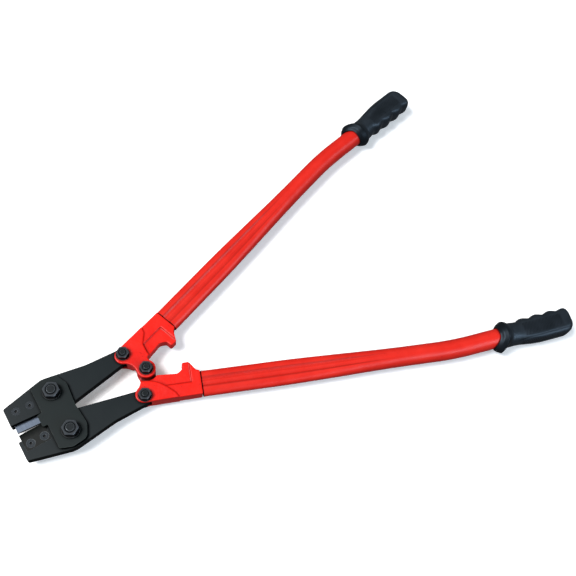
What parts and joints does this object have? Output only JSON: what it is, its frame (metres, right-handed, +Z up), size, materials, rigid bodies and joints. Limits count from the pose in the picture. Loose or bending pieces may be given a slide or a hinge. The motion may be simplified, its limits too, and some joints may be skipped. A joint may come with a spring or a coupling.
{
  "type": "bolt cutters",
  "caption": "Long-handled bolt cutters with screwed shear blades, jaws hinged on two bolted plates, a compound centre pivot, red tubular handles and black moulded grips, shown open.",
  "frame": {"origin": "under the middle of the opened tool's bounding box, on the surface that it lies on", "axes": "+X along the line of symmetry from the jaws to the grips, +Z up, square to the plane that the jaws and handles move in"},
  "size_m": [0.8722, 0.5474, 0.0525],
  "materials": {
    "black_plate": "satin black coated steel plate",
    "black_jaw": "satin black coated forged steel",
    "ground_steel": "ground blade steel",
    "black_blade": "blackened blade steel",
    "screw_steel": "black oxide screws",
    "fastener_steel": "black oxide hex bolts and nuts",
    "washer_steel": "dark steel",
    "red_cast": "glossy red paint over a casting",
    "red_tube": "glossy red paint over steel tube",
    "grip_rubber": "moulded black vinyl, satin"
  },
  "bodies": {
    "plates": {"fixture_plate_upper": "black_plate", "fixture_plate_lower": "black_plate", "jaw_bolts": "fastener_steel", "jaw_nuts": "fastener_steel", "jaw_washers": "washer_steel"},
    "jaw_a_body": {"jaw_a": "black_jaw", "blade_lower": "ground_steel", "blade_screws_a": "screw_steel"},
    "jaw_b_body": {"jaw_b": "black_jaw", "blade_upper": "black_blade", "blade_screws_b": "screw_steel"},
    "handle_a_body": {"handle_head_a": "red_cast", "handle_bolt_a": "fastener_steel", "handle_nut_a": "fastener_steel", "handle_washers_a": "washer_steel", "centre_bolt": "fastener_steel", "centre_nut": "fastener_steel", "centre_washers": "washer_steel", "handle_tube_a": "red_tube", "tube_dowel_a": "washer_steel", "grip_a": "grip_rubber"},
    "handle_b_body": {"handle_head_b": "red_cast", "handle_bolt_b": "fastener_steel", "handle_nut_b": "fastener_steel", "handle_washers_b": "washer_steel", "handle_tube_b": "red_tube", "tube_dowel_b": "washer_steel", "grip_b": "grip_rubber"}
  },
  "joints": [
    {"name": "jaw_a_hinge", "type": "hinge", "parent": "plates", "child": "jaw_a_body", "pos_m": [-0.36551, 0.0325, 0.0245], "axis": [0, 0, 1], "range_deg": [-0.48, 2.34]},
    {"name": "jaw_b_hinge", "type": "hinge", "parent": "plates", "child": "jaw_b_body", "pos_m": [-0.36551, -0.0325, 0.0245], "axis": [0, 0, 1], "range_deg": [-2.34, 0.48]},
    {"name": "handle_a_hinge", "type": "hinge", "parent": "jaw_a_body", "child": "handle_a_body", "pos_m": [-0.2491, 0.03695, 0.0245], "axis": [0, 0, 1], "range_deg": [-19.57, 4]},
    {"name": "handle_b_hinge", "type": "hinge", "parent": "jaw_b_body", "child": "handle_b_body", "pos_m": [-0.2491, -0.03695, 0.0245], "axis": [0, 0, 1], "range_deg": [-4, 19.57]}
  ],
  "couplings": [
    {"joint": "jaw_a_hinge", "follows": "handle_a_hinge", "ratio": -0.11947},
    {"joint": "jaw_b_hinge", "follows": "handle_a_hinge", "ratio": 0.11947},
    {"joint": "handle_b_hinge", "follows": "handle_a_hinge", "ratio": -1}
  ]
}
